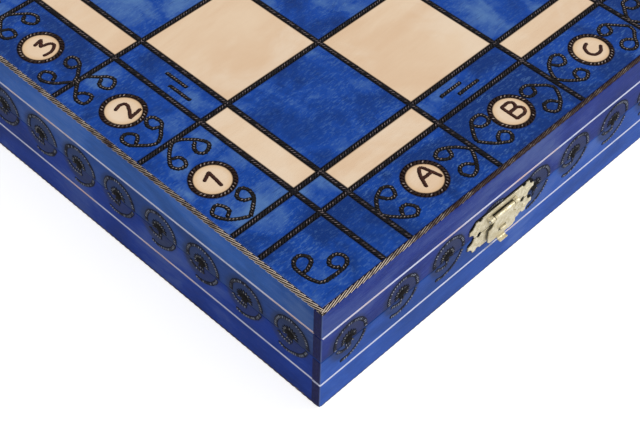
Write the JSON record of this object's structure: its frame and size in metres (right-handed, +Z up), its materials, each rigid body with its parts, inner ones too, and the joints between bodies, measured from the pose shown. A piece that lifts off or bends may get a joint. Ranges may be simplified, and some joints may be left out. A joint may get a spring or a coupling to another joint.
{
  "type": "folding chessboard",
  "caption": "Blue-stained wooden chessboard that folds in half on two butt hinges into a shallow case, shut by two swinging hasp clasps.",
  "frame": {"origin": "middle of the closed case's footprint, hardware counted in, on the surface it lies on", "axes": "+Z up; +X along the files, towards the H end; -Y towards the clasps (the first rank), +Y towards the fold hinges"},
  "size_m": [0.479, 0.2452, 0.056],
  "materials": {
    "stained_panel": "blue stain and bare birch squares under satin varnish",
    "stained_wall": "blue stain outside, bare beech inside, satin varnish",
    "clasp_brass": "pale brass-plated stamped sheet",
    "hinge_brass": "brass-plated sheet",
    "nail_brass": "brass-plated",
    "pin_steel": "drawn wire"
  },
  "bodies": {
    "lower_half": {"lower_panel": "stained_panel", "lower_front_wall": "stained_wall", "lower_back_wall": "stained_wall", "lower_left_wall": "stained_wall", "lower_right_wall": "stained_wall", "hinge_left_lower_leaf": "hinge_brass", "hinge_left_pin": "pin_steel", "hinge_left_lower_nails": "nail_brass", "hinge_right_lower_leaf": "hinge_brass", "hinge_right_pin": "pin_steel", "hinge_right_lower_nails": "nail_brass", "clasp_left_catch": "clasp_brass", "clasp_left_catch_nails": "nail_brass", "clasp_right_catch": "clasp_brass", "clasp_right_catch_nails": "nail_brass"},
    "upper_half": {"upper_panel": "stained_panel", "upper_front_wall": "stained_wall", "upper_back_wall": "stained_wall", "upper_left_wall": "stained_wall", "upper_right_wall": "stained_wall", "hinge_left_upper_leaf": "hinge_brass", "hinge_left_upper_nails": "nail_brass", "hinge_right_upper_leaf": "hinge_brass", "hinge_right_upper_nails": "nail_brass", "clasp_left_plate": "clasp_brass", "clasp_left_plate_nails": "nail_brass", "clasp_left_pin": "pin_steel", "clasp_right_plate": "clasp_brass", "clasp_right_plate_nails": "nail_brass", "clasp_right_pin": "pin_steel"},
    "hasp_left": {"clasp_left_hasp": "clasp_brass"},
    "hasp_right": {"clasp_right_hasp": "clasp_brass"}
  },
  "joints": [
    {"name": "fold", "type": "hinge", "parent": "lower_half", "child": "upper_half", "pos_m": [0, 0.1204, 0.028], "axis": [-1, 0, 0], "range_deg": [0, 180]},
    {"name": "left_hasp_swing", "type": "hinge", "parent": "upper_half", "child": "hasp_left", "pos_m": [-0.1435, -0.12055, 0.0323], "axis": [-1, 0, 0], "range_deg": [0, 170]},
    {"name": "right_hasp_swing", "type": "hinge", "parent": "upper_half", "child": "hasp_right", "pos_m": [0.1435, -0.12055, 0.0323], "axis": [-1, 0, 0], "range_deg": [0, 170]}
  ]
}
